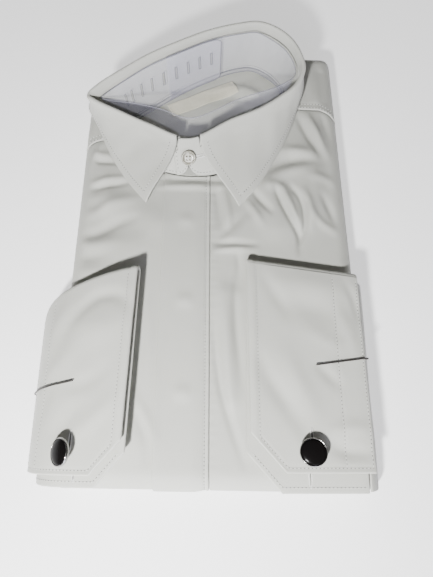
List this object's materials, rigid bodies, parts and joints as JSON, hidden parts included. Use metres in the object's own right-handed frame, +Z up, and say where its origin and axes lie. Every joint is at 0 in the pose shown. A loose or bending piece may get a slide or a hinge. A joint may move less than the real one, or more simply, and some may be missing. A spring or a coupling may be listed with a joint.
{
  "type": "folded long sleeve dress shirt",
  "caption": "New dress shirt folded flat on its back, collar held open by a clear strip, fly front, folded sleeves with linked double cuffs laid on the chest.",
  "frame": {"origin": "on the flat underside that the folded shirt rests on, under the middle of the folded body's width and near the middle of its length", "axes": "+Z up out of the front, +Y from the bottom fold towards the collar, +X towards the wearer's left side"},
  "size_m": [0.2454, 0.3659, 0.0691],
  "materials": {
    "shirt_cloth": "white satin-weave cotton",
    "label_satin": "pale gold woven satin, bare",
    "clear_strip": "clear thin plastic",
    "button_pearl": "pearly",
    "link_black": "polished black enamel",
    "link_metal": "polished",
    "clip_wire": "dark steel wire"
  },
  "bodies": {
    "root": {"hidden_layers": "shirt_cloth", "right_front": "shirt_cloth", "left_front": "shirt_cloth", "fly_placket": "shirt_cloth", "outer_yoke": "shirt_cloth", "inner_yoke": "shirt_cloth", "collar_stand": "shirt_cloth", "collar_leaf": "shirt_cloth", "neck_label": "label_satin", "collar_support": "clear_strip", "collar_button": "button_pearl", "cuff_left": "shirt_cloth", "sleeve_left": "shirt_cloth", "link_face_left": "link_black", "link_rim_left": "link_metal", "link_post_left": "link_metal", "cuff_clip_left": "clip_wire", "cuff_right": "shirt_cloth", "sleeve_right": "shirt_cloth", "link_face_right": "link_black", "link_rim_right": "link_metal", "link_post_right": "link_metal", "cuff_clip_right": "clip_wire"}
  },
  "joints": []
}
